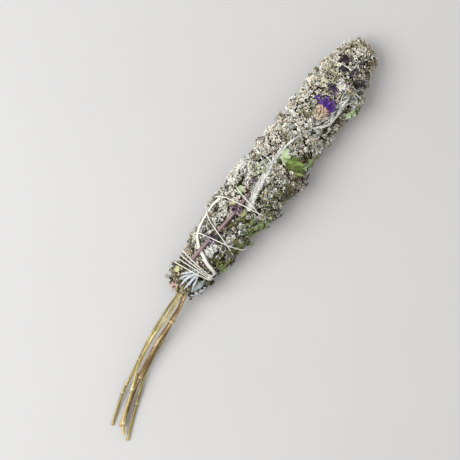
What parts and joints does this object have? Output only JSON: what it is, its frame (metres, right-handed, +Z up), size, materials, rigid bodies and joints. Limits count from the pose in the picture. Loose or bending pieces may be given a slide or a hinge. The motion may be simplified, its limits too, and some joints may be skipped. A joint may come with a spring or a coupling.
{
  "type": "basil smudge stick",
  "caption": "Long bound bundle of dried flower sprays with a basil spike, silver sprigs, leaves and a violet bloom, tied with thread, on bare cut stems.",
  "frame": {"origin": "on the surface that the stick lies on, under the middle of its outer box", "axes": "+Y along the stick from the cut stems to the tip of the head, +Z up, +X to the side that the stems bend towards"},
  "size_m": [0.0548, 0.3104, 0.0369],
  "materials": {
    "florets_olive": "dry, matte olive-tan florets",
    "florets_silver": "dry, matte grey-white florets",
    "florets_beige": "dry, matte beige florets",
    "stem_a": "dry olive bark, faintly ridged",
    "stem_b": "dry cream-olive bark",
    "stem_c": "dry tan-brown bark",
    "stem_d": "dry olive-tan bark",
    "leaf_green": "dry, curled green leaf",
    "leaf_sage": "dry, matte sage-green leaf",
    "basil_bract": "dry yellow-green bract",
    "silver_foliage": "felted, silver-white hairs",
    "basil_stem": "dusty red-purple, grooved",
    "bloom_cup": "dry tan scales",
    "violet_petals": "matte vivid violet petals",
    "dull_violet": "dry dull violet petals",
    "lavender_grey": "dry lavender-grey petals",
    "dried_plum": "dark plum dried petals",
    "thread": "off-white twisted cotton"
  },
  "bodies": {
    "root": {"spray_01": "florets_olive", "spray_02": "florets_silver", "spray_03": "florets_beige", "spray_04": "florets_silver", "spray_05": "florets_beige", "spray_06": "florets_olive", "spray_07": "florets_olive", "spray_08": "florets_silver", "spray_09": "florets_beige", "spray_10": "florets_silver", "spray_11": "florets_beige", "spray_12": "florets_olive", "spray_13": "florets_olive", "spray_14": "florets_silver", "spray_15": "florets_beige", "spray_16": "florets_silver", "spray_17": "florets_olive", "spray_18": "florets_olive", "spray_19": "florets_beige", "spray_20": "florets_silver", "spray_21": "florets_beige", "spray_22": "florets_olive", "spray_23": "florets_olive", "spray_24": "florets_silver", "spray_25": "florets_beige", "spray_26": "florets_silver", "spray_27": "florets_beige", "spray_28": "florets_olive", "stem_a": "stem_a", "stem_b": "stem_b", "stem_c": "stem_c", "stem_d": "stem_d", "leaf_tip_side": "leaf_sage", "leaf_narrow": "leaf_sage", "edge_leaf_1": "leaf_green", "edge_leaf_2": "leaf_green", "edge_leaf_3": "leaf_green", "edge_leaf_4": "leaf_green", "base_leaf": "leaf_sage", "base_frill": "silver_foliage", "silver_cut_leaf": "silver_foliage", "leaf_pale": "leaf_sage", "basil_bract_1": "basil_bract", "basil_bract_2": "basil_bract", "basil_bract_3": "basil_bract", "leaf_centre": "leaf_green", "silver_strip": "silver_foliage", "basil_spike": "basil_stem", "silver_sprig": "silver_foliage", "bloom_cup": "bloom_cup", "bloom_tuft": "violet_petals", "violet_bloom": "dull_violet", "lavender_bloom": "lavender_grey", "plum_petals_1": "dried_plum", "plum_petals_2": "dried_plum", "plum_petals_3": "dried_plum", "binding_thread": "thread"}
  },
  "joints": []
}
